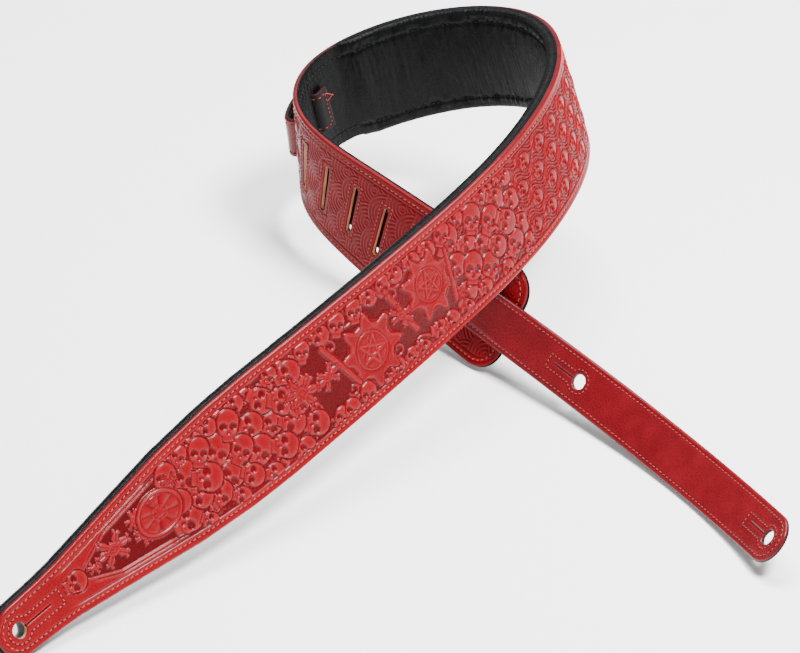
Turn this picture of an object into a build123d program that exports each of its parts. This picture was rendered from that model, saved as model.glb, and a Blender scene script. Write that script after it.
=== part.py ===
from build123d import *
import os
from math import cos, radians, sin, sqrt

os.makedirs("parts", exist_ok=True)

# ---------------------------------------------------------------- pose
# The strap stands on its long edge and is coiled once over itself. It is laid out as a
# straight strip: s runs along it from the front button hole, w across it (up the strip),
# n outward from the tooled face. Bend turns it about w, twist turns it about s.
start_place = Vector(-209.6, -254.5, 18.8)  # front button hole centre
start_heading = 47.7  # degrees from +X, seen from above
start_rise = 12.1
start_roll = -25.4
march_step = 5.0
bend_rates = [  # (s in mm, degrees per 100 mm)
    (0, -4), (360, 5), (420, 17), (500, 25), (560, 46), (620, 71), (680, 52), (740, 44),
    (780, 92), (820, 121), (860, 54), (900, 4), (1000, 0), (1270, -18),
]
twist_rates = [
    (0, -3), (200, 4), (560, 3), (700, -2), (800, -23), (900, -19), (1060, -11), (1270, -1),
]

# ---------------------------------------------------------------- strap body
half_widths = [(0, 15.2), (25, 16.2), (40, 17.5), (80, 23.3), (130, 30.6), (170, 34.0), (200, 35.0)]
front_thickness = 2.8
layer_gap = 0.1
lining_thickness = 1.2
lining_lip = 0.8  # how far the rolled lining stands out past the front leather
pad_depth = 6.0
thin_depth = 0.1
pad_end = 766.0
pad_fade = 10.0
nose_flat = 25.0  # the nose is flat up to here
nose_joint = 45.0  # the leathers of the nose are solids of their own up to here
body_end = 1042.0
heel_flat = 1015.0  # the rounded end is flat from here
heel_radius = 18.0
station_step = 10.0

button_hole_radius = 4.75
nose_slit_length = 20.0
tail_slit_length = 17.0
slit_width = 0.8

slot_first = 793.5
slot_pitch = 26.5
slot_count = 9
slot_length = 34.0
slot_width = 4.2

# ---------------------------------------------------------------- tail
tail_half_width = 15.5
tail_leather_thickness = 1.55
tail_backing_thickness = 1.15
tail_half_thickness = 1.4
tail_inner_end = 778.0
tail_inside = -6.8  # n of the tail's middle behind the body
tail_outside = 2.5  # n of the tail's middle over the rounded end
tail_turn_radius = 3.6
bulge_height = 6.1
bulge_radius = 4.6
bend_line = 1065.0  # where the free tail starts
bend_gap = 0.4
tail_mid_hole = 1105.0
tail_end_hole = 1299.0
tail_end_flat = 1280.0
turn_steps = 5
cut_depth = 30.0

# ---------------------------------------------------------------- thread
thread_width = 0.8
thread_sunk = 0.3
thread_proud = 0.25
body_thread_inset = 3.8
tail_thread_inset = 3.2
nose_ring_radius = 8.0
nose_lobe_half = 5.0
nose_lobe_length = 33.0
tail_ring_radius = 7.5
tail_lobe_half = 4.4
tail_lobe_length = 26.0
slot_box_margin = 3.0


def level(knots, s):
    """Straight-line value between the knots either side of s."""
    if s <= knots[0][0]:
        return knots[0][1]
    for (s0, v0), (s1, v1) in zip(knots, knots[1:]):
        if s <= s1:
            return v0 + (v1 - v0) * (s - s0) / (s1 - s0)
    return knots[-1][1]


def turned(vector, about, degrees):
    return vector.rotate(Axis((0, 0, 0), about), degrees)


def advanced(place, along, across, s, length):
    """The strip's frame moved on by length: bent about across and twisted about along."""
    bend = level(bend_rates, s + length / 2) * length / 100
    twist = level(twist_rates, s + length / 2) * length / 100
    size = sqrt(bend * bend + twist * twist)
    if size < 1e-9:
        return place + along * length, along, across
    about = across * bend + along * twist
    halfway = turned(along, about, size / 2)
    return place + halfway * length, turned(along, about, size), turned(across, about, size)


heading = radians(start_heading)
rise = radians(start_rise)
first_along = Vector(cos(rise) * cos(heading), cos(rise) * sin(heading), sin(rise))
first_left = Vector(-sin(heading), cos(heading), 0)
first_across = turned(first_along.cross(first_left).normalized(), first_along, start_roll)
frames = [(start_place, first_along, first_across)]
while len(frames) * march_step < tail_end_hole + march_step:
    frames.append(advanced(*frames[-1], (len(frames) - 1) * march_step, march_step))


def frame_at(s):
    index = int(s // march_step)
    rest = s - index * march_step
    place, along, across = frames[index]
    if rest > 1e-9:
        place, along, across = advanced(place, along, across, index * march_step, rest)
    return place, along, across, along.cross(across)


def section_plane(s, n=0.0, tilt=0.0):
    """Plane across the strip: local x runs up the width, local y outward."""
    place, along, across, outward = frame_at(s)
    onward = along * cos(radians(tilt)) + outward * sin(radians(tilt))
    return Plane(origin=place + outward * n, x_dir=across, z_dir=onward)


def face_plane(s, n=0.0):
    """Plane on the strip's face: local x runs along the strip, local y up the width."""
    place, along, across, outward = frame_at(s)
    return Plane(origin=place + outward * n, x_dir=along, z_dir=outward)


def half_width(s):
    return level(half_widths, s)


def pad_at(s):
    return level([(pad_end - pad_fade, pad_depth), (pad_end, thin_depth)], s)


def stations(start, end):
    count = max(1, round((end - start) / station_step))
    return [start + (end - start) * i / count for i in range(count + 1)]


front_bottom = -front_thickness
pad_top = front_bottom - layer_gap
slots = [slot_first + slot_pitch * i for i in range(slot_count)]
nose_tip = nose_flat
heel_length = body_end - heel_flat


def nose_outline(grow):
    """Rounded nose on the flat plane, grown or shrunk all round."""
    with Locations((-nose_tip, 0)):
        Circle(half_width(0) + grow)
    near = half_width(nose_flat) + grow
    far = half_width(0) + grow
    Polygon((-nose_tip, far), (0, near), (0, -near), (-nose_tip, -far), align=None)


def heel_outline(grow):
    """Rounded heel on the flat plane, grown or shrunk all round."""
    width = 2 * (half_width(body_end) + grow)
    with Locations(((heel_length + grow) / 2, 0)):
        Rectangle(heel_length + grow, width)
    fillet(vertices().sort_by(Axis.X)[-2:], heel_radius + grow)


def cut_slots(centres):
    for centre in centres:
        with BuildSketch(face_plane(centre)) as slot:
            SlotOverall(slot_length, slot_width, rotation=90)
        extrude(slot.sketch, amount=cut_depth / 2, both=True, mode=Mode.SUBTRACT)


def cut_button_hole(plane, centre, slit_length, slit_side):
    """Round hole with a slit running from it, on a face plane."""
    with BuildSketch(plane) as hole:
        with Locations((centre, 0)):
            Circle(button_hole_radius)
        with Locations((centre + slit_side * (button_hole_radius + slit_length) / 2, 0)):
            Rectangle(button_hole_radius + slit_length, slit_width)
    extrude(hole.sketch, amount=cut_depth / 2, both=True, mode=Mode.SUBTRACT)


def halves_at_nose(whole, name):
    """The long piece and the nose piece of a leather that runs the strap's whole length."""
    joint = section_plane(nose_joint)
    long_piece = split(whole, bisect_by=joint, keep=Keep.TOP)
    nose_piece = split(whole, bisect_by=joint, keep=Keep.BOTTOM)
    long_piece.label = name
    nose_piece.label = f"{name}_nose"
    return long_piece, nose_piece


# ---------------------------------------------------------------- front leather
with BuildPart() as front:
    for s in stations(nose_flat, heel_flat):
        with BuildSketch(section_plane(s)):
            with Locations((0, front_bottom / 2)):
                Rectangle(2 * half_width(s), front_thickness)
    loft(ruled=True)
    with BuildSketch(face_plane(nose_flat, front_bottom)):
        nose_outline(0)
    extrude(amount=front_thickness)
    with BuildSketch(face_plane(heel_flat, front_bottom)):
        heel_outline(0)
    extrude(amount=front_thickness)
    cut_slots(slots)
    cut_button_hole(face_plane(nose_flat), -nose_tip, nose_slit_length, 1)
front_leather, front_leather_nose = halves_at_nose(front.part, "front_leather")

# ---------------------------------------------------------------- lining
# Garment leather under the pad, rolled up round its edges: a shallow tray in section.
with BuildPart() as tray:
    for s in stations(nose_flat, heel_flat):
        outer = half_width(s) + lining_lip
        inner = outer - lining_thickness
        floor = pad_top - pad_at(s)
        back = floor - lining_thickness
        with BuildSketch(section_plane(s)):
            Polygon(
                (-outer, back), (outer, back), (outer, pad_top), (inner, pad_top),
                (inner, floor), (-inner, floor), (-inner, pad_top), (-outer, pad_top),
                align=None,
            )
    loft(ruled=True)
    with BuildSketch(face_plane(nose_flat, pad_top - pad_depth - lining_thickness)):
        nose_outline(lining_lip)
    extrude(amount=pad_depth + lining_thickness)
    with BuildSketch(face_plane(nose_flat, pad_top - pad_depth)):
        nose_outline(lining_lip - lining_thickness)
    extrude(amount=pad_depth, mode=Mode.SUBTRACT)
    with BuildSketch(face_plane(heel_flat, pad_top - thin_depth - lining_thickness)):
        heel_outline(lining_lip)
    extrude(amount=thin_depth + lining_thickness)
    cut_slots(slots)
    cut_button_hole(face_plane(nose_flat), -nose_tip, nose_slit_length, 1)
lining, lining_nose = halves_at_nose(tray.part, "lining")

# ---------------------------------------------------------------- pad and nose stiffener
pad_side_gap = 0.3
pad_inset = lining_thickness - lining_lip + pad_side_gap
with BuildPart() as foam_pad:
    for s in stations(nose_flat + 1, pad_end - 2):
        depth = pad_at(s) - 2 * layer_gap
        with BuildSketch(section_plane(s)):
            with Locations((0, pad_top - layer_gap - depth / 2)):
                Rectangle(2 * (half_width(s) - pad_inset), depth)
    loft(ruled=True)
foam_pad.part.label = "foam_pad"

with BuildPart() as nose_stiffener:
    with BuildSketch(face_plane(nose_flat, pad_top - pad_depth + layer_gap)):
        nose_outline(-pad_inset)
    extrude(amount=pad_depth - 2 * layer_gap)
    cut_button_hole(face_plane(nose_flat), -nose_tip, nose_slit_length, 1)
nose_stiffener.part.label = "nose_stiffener"

# ---------------------------------------------------------------- body threads
thread_height = thread_sunk + thread_proud


def ribbon(path, sideways, n_surface):
    """Thread laid along a path of (s, n, tilt) frames, sunk into the face."""
    with BuildPart() as strand:
        for s, n, tilt in path:
            with BuildSketch(section_plane(s, n, tilt)):
                with Locations((sideways(s), n_surface + (thread_proud - thread_sunk) / 2)):
                    Rectangle(thread_width, thread_height)
        loft(ruled=True)
    return strand.part


body_path = [(s, 0, 0) for s in stations(nose_flat, heel_flat)]
body_upper = ribbon(body_path, lambda s: half_width(s) - body_thread_inset, 0)
body_lower = ribbon(body_path, lambda s: body_thread_inset - half_width(s), 0)
half_thread = thread_width / 2

with BuildPart() as edge_thread:
    add(body_upper)
    add(body_lower)
    with BuildSketch(face_plane(nose_flat, -thread_sunk)) as nose_loop:
        nose_outline(half_thread - body_thread_inset)
        with BuildSketch(mode=Mode.SUBTRACT):
            nose_outline(-half_thread - body_thread_inset)
    extrude(amount=thread_height)
    with BuildSketch(face_plane(heel_flat, -thread_sunk)) as heel_loop:
        heel_outline(half_thread - body_thread_inset)
        with BuildSketch(mode=Mode.SUBTRACT):
            heel_outline(-half_thread - body_thread_inset)
    extrude(amount=thread_height)
edge_thread.part.label = "edge_thread"


def keyhole_thread(plane, centre, ring_radius, lobe_half, lobe_length, side):
    """Stitched outline round a button hole: a ring that opens into a rounded lobe."""
    with BuildPart() as outline:
        with BuildSketch(plane):
            for inset, how in ((-half_thread, Mode.ADD), (half_thread, Mode.SUBTRACT)):
                reach = lobe_length - inset
                with BuildSketch(mode=how):
                    with Locations((centre, 0)):
                        Circle(ring_radius - inset)
                    with Locations((centre + side * reach / 2, 0)):
                        Rectangle(reach, 2 * (lobe_half - inset))
        extrude(amount=thread_height)
    return outline.part


nose_keyhole_thread = keyhole_thread(
    face_plane(nose_flat, -thread_sunk), -nose_tip, nose_ring_radius, nose_lobe_half, nose_lobe_length, 1
)
nose_keyhole_thread.label = "nose_keyhole_thread"

slot_threads = []
for number, centre in enumerate(slots, start=1):
    box_length = slot_length + 2 * slot_box_margin
    box_width = slot_width + 2 * slot_box_margin
    with BuildPart() as slot_thread:
        with BuildSketch(face_plane(centre, -thread_sunk)):
            Rectangle(box_width, box_length)
            Rectangle(box_width - 2 * thread_width, box_length - 2 * thread_width, mode=Mode.SUBTRACT)
        extrude(amount=thread_height)
    slot_thread.part.label = f"slot_thread_{number}"
    slot_threads.append(slot_thread.part)


# ---------------------------------------------------------------- tail path
def turn(centre_s, centre_n, radius, first, last):
    """Frames round an arc in the (s, n) plane; angles are the tail's tilt."""
    side = 1 if last > first else -1
    frames_round = []
    for i in range(turn_steps + 1):
        tilt = first + (last - first) * i / turn_steps
        s = centre_s + side * radius * sin(radians(tilt))
        n = centre_n - side * radius * cos(radians(tilt))
        frames_round.append((s, n, tilt))
    return frames_round


inner_turn = tail_inside + tail_turn_radius
outer_turn = tail_outside - tail_turn_radius
bulge_turn = bulge_height - bulge_radius
held_path = [(s, tail_inside, 0) for s in (tail_inner_end, tail_inner_end + 5)]
held_path += turn(slots[0] - tail_turn_radius, inner_turn, tail_turn_radius, 0, 90)
held_path += turn(slots[0] + bulge_radius, bulge_turn, bulge_radius, 90, 0)
held_path += turn(slots[1] - bulge_radius, bulge_turn, bulge_radius, 0, -90)
held_path += turn(slots[1] + tail_turn_radius, inner_turn, tail_turn_radius, -90, 0)
behind_start = slots[1] + tail_turn_radius + station_step / 2
behind_end = slots[-1] - tail_turn_radius - station_step / 2
held_path += [(s, tail_inside, 0) for s in stations(behind_start, behind_end)]
held_path += turn(slots[-1] - tail_turn_radius, inner_turn, tail_turn_radius, 0, 90)
held_path += turn(slots[-1] + tail_turn_radius, outer_turn, tail_turn_radius, 90, 0)
outside_start = slots[-1] + tail_turn_radius + station_step / 2
held_path += [(s, tail_outside, 0) for s in stations(outside_start, bend_line - bend_gap / 2)]
free_path = [(s, tail_outside, 0) for s in stations(bend_line + bend_gap / 2, tail_end_flat)]

tail_end_reach = tail_end_hole - tail_end_flat


def tail_layer(path, low, high):
    """One layer of the tail between two heights, lofted along its path."""
    with BuildPart() as layer:
        for s, n, tilt in path:
            with BuildSketch(section_plane(s, n, tilt)):
                with Locations((0, (low + high) / 2)):
                    Rectangle(2 * tail_half_width, high - low)
        loft(ruled=True)
    return layer.part


def tail_end_outline(grow):
    with Locations((tail_end_reach, 0)):
        Circle(tail_half_width + grow)
    with Locations((tail_end_reach / 2, 0)):
        Rectangle(tail_end_reach, 2 * (tail_half_width + grow))


def free_layer(low, high):
    """A free layer with its round end and both button holes."""
    with BuildPart() as layer:
        add(tail_layer(free_path, low, high))
        with BuildSketch(face_plane(tail_end_flat, tail_outside + low)):
            tail_end_outline(0)
        extrude(amount=high - low)
        cut_button_hole(face_plane(tail_mid_hole), 0, tail_slit_length, -1)
        cut_button_hole(face_plane(tail_end_flat), tail_end_reach, tail_slit_length, -1)
    return layer.part


leather_low = tail_half_thickness - tail_leather_thickness
backing_high = tail_backing_thickness - tail_half_thickness

held_tail_leather = tail_layer(held_path, leather_low, tail_half_thickness)
held_tail_leather.label = "held_tail_leather"
held_tail_backing = tail_layer(held_path, -tail_half_thickness, backing_high)
held_tail_backing.label = "held_tail_backing"
free_tail_leather = free_layer(leather_low, tail_half_thickness)
free_tail_leather.label = "free_tail_leather"
free_tail_backing = free_layer(-tail_half_thickness, backing_high)
free_tail_backing.label = "free_tail_backing"

# ---------------------------------------------------------------- tail threads
tail_thread_line = tail_half_width - tail_thread_inset
held_thread_path = held_path[1:]
held_bar_s = held_thread_path[0][0]
held_upper = ribbon(held_thread_path, lambda s: tail_thread_line, tail_half_thickness)
held_lower = ribbon(held_thread_path, lambda s: -tail_thread_line, tail_half_thickness)
free_upper = ribbon(free_path, lambda s: tail_thread_line, tail_half_thickness)
free_lower = ribbon(free_path, lambda s: -tail_thread_line, tail_half_thickness)
tail_thread_bottom = tail_half_thickness - thread_sunk

with BuildPart() as held_tail_thread:
    add(held_upper)
    add(held_lower)
    with BuildSketch(face_plane(held_bar_s, tail_inside + tail_thread_bottom)):
        Rectangle(thread_width, 2 * tail_thread_line + thread_width, align=(Align.MAX, Align.CENTER))
    extrude(amount=thread_height)
held_tail_thread.part.label = "held_tail_thread"

with BuildPart() as free_tail_thread:
    add(free_upper)
    add(free_lower)
    with BuildSketch(face_plane(tail_end_flat, tail_outside + tail_thread_bottom)):
        tail_end_outline(half_thread - tail_thread_inset)
        with BuildSketch(mode=Mode.SUBTRACT):
            tail_end_outline(-half_thread - tail_thread_inset)
    extrude(amount=thread_height)
free_tail_thread.part.label = "free_tail_thread"

tail_mid_keyhole_thread = keyhole_thread(
    face_plane(tail_mid_hole, tail_outside + tail_thread_bottom), 0,
    tail_ring_radius, tail_lobe_half, tail_lobe_length, -1,
)
tail_mid_keyhole_thread.label = "tail_mid_keyhole_thread"
tail_end_keyhole_thread = keyhole_thread(
    face_plane(tail_end_flat, tail_outside + tail_thread_bottom), tail_end_reach,
    tail_ring_radius, tail_lobe_half, tail_lobe_length, -1,
)
tail_end_keyhole_thread.label = "tail_end_keyhole_thread"

# ---------------------------------------------------------------- files
export_step(front_leather, "parts/front_leather.step")
export_step(front_leather_nose, "parts/front_leather_nose.step")
export_step(lining, "parts/lining.step")
export_step(lining_nose, "parts/lining_nose.step")
export_step(foam_pad.part, "parts/foam_pad.step")
export_step(nose_stiffener.part, "parts/nose_stiffener.step")
export_step(edge_thread.part, "parts/edge_thread.step")
export_step(nose_keyhole_thread, "parts/nose_keyhole_thread.step")
for slot_thread_part in slot_threads:
    export_step(slot_thread_part, f"parts/{slot_thread_part.label}.step")
export_step(held_tail_leather, "parts/held_tail_leather.step")
export_step(held_tail_backing, "parts/held_tail_backing.step")
export_step(held_tail_thread.part, "parts/held_tail_thread.step")
export_step(free_tail_leather, "parts/free_tail_leather.step")
export_step(free_tail_backing, "parts/free_tail_backing.step")
export_step(free_tail_thread.part, "parts/free_tail_thread.step")
export_step(tail_mid_keyhole_thread, "parts/tail_mid_keyhole_thread.step")
export_step(tail_end_keyhole_thread, "parts/tail_end_keyhole_thread.step")
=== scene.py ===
import math
import bpy
import numpy as np
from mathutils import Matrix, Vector


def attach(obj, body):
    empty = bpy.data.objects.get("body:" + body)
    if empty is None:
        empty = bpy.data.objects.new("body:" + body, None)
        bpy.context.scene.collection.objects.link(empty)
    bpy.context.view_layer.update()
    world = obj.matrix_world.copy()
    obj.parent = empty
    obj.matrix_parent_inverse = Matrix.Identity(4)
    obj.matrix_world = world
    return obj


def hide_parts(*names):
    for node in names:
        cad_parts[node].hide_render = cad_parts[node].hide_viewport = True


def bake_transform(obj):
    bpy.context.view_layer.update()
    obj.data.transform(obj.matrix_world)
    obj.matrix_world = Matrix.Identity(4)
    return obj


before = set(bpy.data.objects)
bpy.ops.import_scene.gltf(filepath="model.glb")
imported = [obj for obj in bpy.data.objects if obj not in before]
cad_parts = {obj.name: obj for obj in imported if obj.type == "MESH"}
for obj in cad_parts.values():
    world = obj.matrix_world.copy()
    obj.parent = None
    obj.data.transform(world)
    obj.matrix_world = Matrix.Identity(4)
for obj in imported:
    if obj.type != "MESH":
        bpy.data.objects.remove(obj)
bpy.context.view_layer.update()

MM = 0.001

# ---------------------------------------- sizes
# The strap is a straight strip laid along a curved path: s along it from the nose button
# hole, w up its width, n outward from the tooled face. The tail has its own l along it.
# Millimetres and degrees, until a mesh is made.
FACE_CELL = 0.5
LINING_CELL = 1.0
TAIL_CELL = 0.7
START = np.array([-209.6, -254.5, 18.8])
HEADING, RISE, ROLL = 47.7, 12.1, -25.4
PATH_LEN, STEP = 1340.0, 5.0
# degrees per 100 mm at each s
BEND = [(0, -4), (360, 5), (420, 17), (500, 25), (560, 46), (620, 71), (680, 52), (740, 44),
        (780, 92), (820, 121), (860, 54), (900, 4), (1000, 0), (1270, -18)]
TWIST = [(0, -3), (200, 4), (560, 3), (700, -2), (800, -23), (900, -19), (1060, -11), (1270, -1)]
NOSE_R, BODY_HW = 15.2, 35.0
HALF_WIDTH = [(0, NOSE_R), (25, 16.2), (40, 17.5), (80, 23.3), (130, 30.6), (170, 34.0), (200, BODY_HW)]
BODY_END, HEEL_R = 1042.0, 18.0
FRONT_T = 2.8
PAD_END, PAD_FADE = 766.0, 10.0
# the lining: where it starts behind the leather, and its depth over the pad and past the pad's end
LINING_N, PAD_DEPTH, BARE_DEPTH = -2.85, 7.2, 1.25
HOLE_R = 4.75
SLOTS = [793.5 + 26.5 * i for i in range(9)]
SLOT_HALF, SLOT_R = 17.0, 2.1
SLOT_BOX = (4.8, 19.6)
TAIL_HW, TAIL_HT = 15.5, 1.4
TAIL_INNER_END, TAIL_START = 778.0, 4.0
TAIL_IN, TAIL_OUT, TURN_R = -6.8, 2.5, 3.6
BULGE_H, BULGE_R = 6.1, 4.6
BEND_LINE, MID_HOLE, END_HOLE = 1065.0, 1105.0, 1299.0
# each seam's distance inside its edge
EDGE_SEAM, LINING_SEAM, TAIL_SEAM = 3.8, 7.5, 3.2
# keyholes of thread: radius of the ring, half width and reach of the lobe
NOSE_KEYHOLE, TAIL_KEYHOLE = (8.0, 5.0, 33.0), (7.5, 4.4, 26.0)
# zones of the tooled face along s
KITE, PANEL = (49, 132), (239, 372)
NOSE_CROWD, MIDDLE_CROWD = (126, 240), (368, 432)
WAVES_FROM, ARCS_FROM = 434, 838
# an eight-sided ring's flat end as three quads
OCTAGON = ((0, 1, 2, 3), (0, 3, 4, 7), (4, 5, 6, 7))


# ---------------------------------------- the strip's path
def level(knots, s):
    """Value at s of a list of (s, value) knots."""
    return np.interp(s, [k[0] for k in knots], [k[1] for k in knots])


def spin(v, axis, angle):
    """v turned by angle about a unit axis."""
    c, k = math.cos(angle), math.sin(angle)
    return v * c + np.cross(axis, v) * k + axis * np.dot(axis, v) * (1 - c)


def march():
    """Place, along and across at every STEP of the strip."""
    h, r = math.radians(HEADING), math.radians(RISE)
    along = np.array([math.cos(r) * math.cos(h), math.cos(r) * math.sin(h), math.sin(r)])
    up = np.cross(along, np.array([-math.sin(h), math.cos(h), 0.0]))
    across = spin(up / np.linalg.norm(up), along, math.radians(ROLL))
    place, rows = START.copy(), []
    for i in range(int(PATH_LEN / STEP)):
        rows.append((place, along, across))
        mid = (i + 0.5) * STEP
        bend = math.radians(level(BEND, mid) * STEP / 100)
        twist = math.radians(level(TWIST, mid) * STEP / 100)
        size = math.hypot(bend, twist)
        about = (across * bend + along * twist) / max(size, 1e-12)
        place = place + spin(along, about, size / 2) * STEP
        along, across = spin(along, about, size), spin(across, about, size)
    return [np.array([r[k] for r in rows]) for k in range(3)]


PLACE, ALONG, ACROSS = march()


def unit(v):
    return v / np.linalg.norm(v, axis=-1, keepdims=True)


def frame_at(s):
    """Place, along, across and outward at every s of an array."""
    s = np.asarray(s, float)
    inside = np.clip(s, 0, (len(PLACE) - 1) * STEP - 0.01)
    i = (inside // STEP).astype(int)
    t = (inside / STEP - i)[..., None]
    t2, t3 = t * t, t * t * t
    p = ((2 * t3 - 3 * t2 + 1) * PLACE[i] + (t3 - 2 * t2 + t) * STEP * ALONG[i]
         + (3 * t2 - 2 * t3) * PLACE[i + 1] + (t3 - t2) * STEP * ALONG[i + 1])
    a = unit(ALONG[i] * (1 - t) + ALONG[i + 1] * t)
    c = unit(ACROSS[i] * (1 - t) + ACROSS[i + 1] * t)
    p = p + a * (s - inside)[..., None]
    return p, a, c, np.cross(a, c)


def on_body(s, w, n):
    p, a, c, o = frame_at(s)
    return p + c * np.asarray(w)[..., None] + o * np.asarray(n)[..., None]


# ---------------------------------------- the tail's path
def tail_path():
    """Rows of (s, n, tilt) of the tail's middle line, about a millimetre apart."""
    rows = []

    def arc(cs, cn, r, first, last):
        side = 1 if last > first else -1
        for k in range(9):
            tilt = math.radians(first + (last - first) * k / 8)
            rows.append((cs + side * r * math.sin(tilt), cn - side * r * math.cos(tilt), tilt))

    def run(a, b, n):
        for s in np.arange(a, b, 1.0):
            rows.append((s, n, 0.0))

    inner, outer, bulge = TAIL_IN + TURN_R, TAIL_OUT - TURN_R, BULGE_H - BULGE_R
    run(TAIL_INNER_END, SLOTS[0] - TURN_R - 0.5, TAIL_IN)
    arc(SLOTS[0] - TURN_R, inner, TURN_R, 0, 90)
    for n in np.arange(inner + 1, bulge - 0.3, 1.0):
        rows.append((SLOTS[0], n, math.pi / 2))
    arc(SLOTS[0] + BULGE_R, bulge, BULGE_R, 90, 0)
    run(SLOTS[0] + BULGE_R + 1, SLOTS[1] - BULGE_R - 0.5, BULGE_H)
    arc(SLOTS[1] - BULGE_R, bulge, BULGE_R, 0, -90)
    for n in np.arange(bulge - 1, inner + 0.3, -1.0):
        rows.append((SLOTS[1], n, -math.pi / 2))
    arc(SLOTS[1] + TURN_R, inner, TURN_R, -90, 0)
    run(SLOTS[1] + TURN_R + 1, SLOTS[8] - TURN_R - 0.5, TAIL_IN)
    arc(SLOTS[8] - TURN_R, inner, TURN_R, 0, 90)
    rows.append((SLOTS[8], (inner + outer) / 2, math.pi / 2))
    arc(SLOTS[8] + TURN_R, outer, TURN_R, 90, 0)
    run(SLOTS[8] + TURN_R + 1, END_HOLE + TAIL_HW + 1, TAIL_OUT)
    return np.array(rows)


TAIL = tail_path()
TAIL_P, TAIL_A, TAIL_C, TAIL_O = frame_at(TAIL[:, 0])
TAIL_POS = TAIL_P + TAIL_O * TAIL[:, 1:2]
TAIL_UP = TAIL_O * np.cos(TAIL[:, 2:3]) - TAIL_A * np.sin(TAIL[:, 2:3])
TAIL_L = np.concatenate([[0], np.cumsum(np.linalg.norm(np.diff(TAIL_POS, axis=0), axis=1))])
TAIL_LEN = float(np.interp(END_HOLE + TAIL_HW, TAIL[-150:, 0], TAIL_L[-150:]))
L_MID = float(np.interp(MID_HOLE, TAIL[-250:, 0], TAIL_L[-250:]))
L_END = float(np.interp(END_HOLE, TAIL[-150:, 0], TAIL_L[-150:]))


def on_tail(l, w, n):
    """Points on the tail, n outward from its middle layer."""
    l = np.asarray(l, float)
    i = np.clip(np.searchsorted(TAIL_L, l) - 1, 0, len(TAIL_L) - 2)
    t = ((l - TAIL_L[i]) / (TAIL_L[i + 1] - TAIL_L[i]))[..., None]

    def between(a):
        return a[i] * (1 - t) + a[i + 1] * t

    return (between(TAIL_POS) + unit(between(TAIL_C)) * np.asarray(w)[..., None]
            + unit(between(TAIL_UP)) * np.asarray(n)[..., None])


# ---------------------------------------- outlines
def body_hw(s, grow=0.0):
    """Half width of the body at s, rounded at nose and heel."""
    s = np.asarray(s, float)
    hw = level(HALF_WIDTH, s) + grow
    r = NOSE_R + grow
    hw = np.where(s < 0, np.sqrt(np.clip(r * r - s * s, 0, None)), hw)
    start = BODY_END - HEEL_R
    rr = HEEL_R + grow
    x = np.clip(s - start, 0, rr)
    return np.where(s > start, BODY_HW + grow - rr + np.sqrt(np.clip(rr * rr - x * x, 0, None)), hw)


def tail_hw(l):
    """Half width of the tail at l, round at its free end."""
    x = np.clip(l - L_END, 0, TAIL_HW)
    return np.where(l > L_END, np.sqrt(np.clip(TAIL_HW * TAIL_HW - x * x, 0, None)), TAIL_HW)


def rows_between(start, end, cell, round_start=0.0, round_end=0.0):
    """Row positions, closer together where an outline is round."""
    rows = []
    if round_start:
        q = np.linspace(0.06, math.pi / 2, max(8, int(round_start * 1.6 / cell)))
        rows += list(start + round_start * (1 - np.cos(q)))[:-1]
        start += round_start
    stop = end - round_end
    rows += list(np.linspace(start, stop, max(2, int((stop - start) / cell) + 1)))
    if round_end:
        q = np.linspace(0, math.pi / 2 - 0.06, max(8, int(round_end * 1.6 / cell)))
        rows += list(stop + round_end * np.sin(q))[1:]
    return np.array(rows)


# ---------------------------------------- smooth random fields
def value_noise(x, y, seed):
    """Smooth noise from -1 to 1 on a unit lattice."""
    table = np.random.default_rng(seed).uniform(-1, 1, (256, 256))
    xi, yi = np.floor(x).astype(int), np.floor(y).astype(int)
    fx, fy = x - xi, y - yi
    fx, fy = fx * fx * (3 - 2 * fx), fy * fy * (3 - 2 * fy)
    at = lambda a, b: table[(xi + a) % 256, (yi + b) % 256]
    return (at(0, 0) * (1 - fx) * (1 - fy) + at(1, 0) * fx * (1 - fy)
            + at(0, 1) * (1 - fx) * fy + at(1, 1) * fx * fy)


def soft(x, edge):
    """0 below -edge, 1 above edge, smooth between."""
    t = np.clip((x + edge) / (2 * edge), 0, 1)
    return t * t * (3 - 2 * t)


# ---------------------------------------- meshes
def make_mesh(name, points, faces, uv, attrs, mats, mat_index):
    """An object from points in millimetres and quads."""
    mesh = bpy.data.meshes.new(name)
    mesh.vertices.add(len(points))
    mesh.vertices.foreach_set("co", (points * MM).astype(np.float32).ravel())
    mesh.loops.add(faces.size)
    mesh.loops.foreach_set("vertex_index", faces.astype(np.int32).ravel())
    mesh.polygons.add(len(faces))
    size = faces.shape[1]
    mesh.polygons.foreach_set("loop_start", np.arange(0, faces.size, size, dtype=np.int32))
    mesh.polygons.foreach_set("loop_total", np.full(len(faces), size, dtype=np.int32))
    mesh.update(calc_edges=True)
    layer = mesh.uv_layers.new(name="strip")
    layer.data.foreach_set("uv", uv[faces.ravel()].astype(np.float32).ravel())
    for key, values in attrs.items():
        mesh.attributes.new(key, "FLOAT", "POINT").data.foreach_set("value", values.astype(np.float32))
    for m in mats:
        mesh.materials.append(m)
    mesh.polygons.foreach_set("material_index", mat_index.astype(np.int32))
    mesh.polygons.foreach_set("use_smooth", np.ones(len(faces), bool))
    mesh.validate()
    ob = bpy.data.objects.new(name, mesh)
    bpy.context.collection.objects.link(ob)
    return ob


def hole_distance(s, w, hole):
    """Distance outside a rounded slot given as (s, w, half length along w, radius)."""
    hs, hw_, half, r = hole
    qw = np.clip(w, hw_ - half, hw_ + half)
    return np.hypot(s - hs, w - qw) - r, hs, qw


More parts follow.
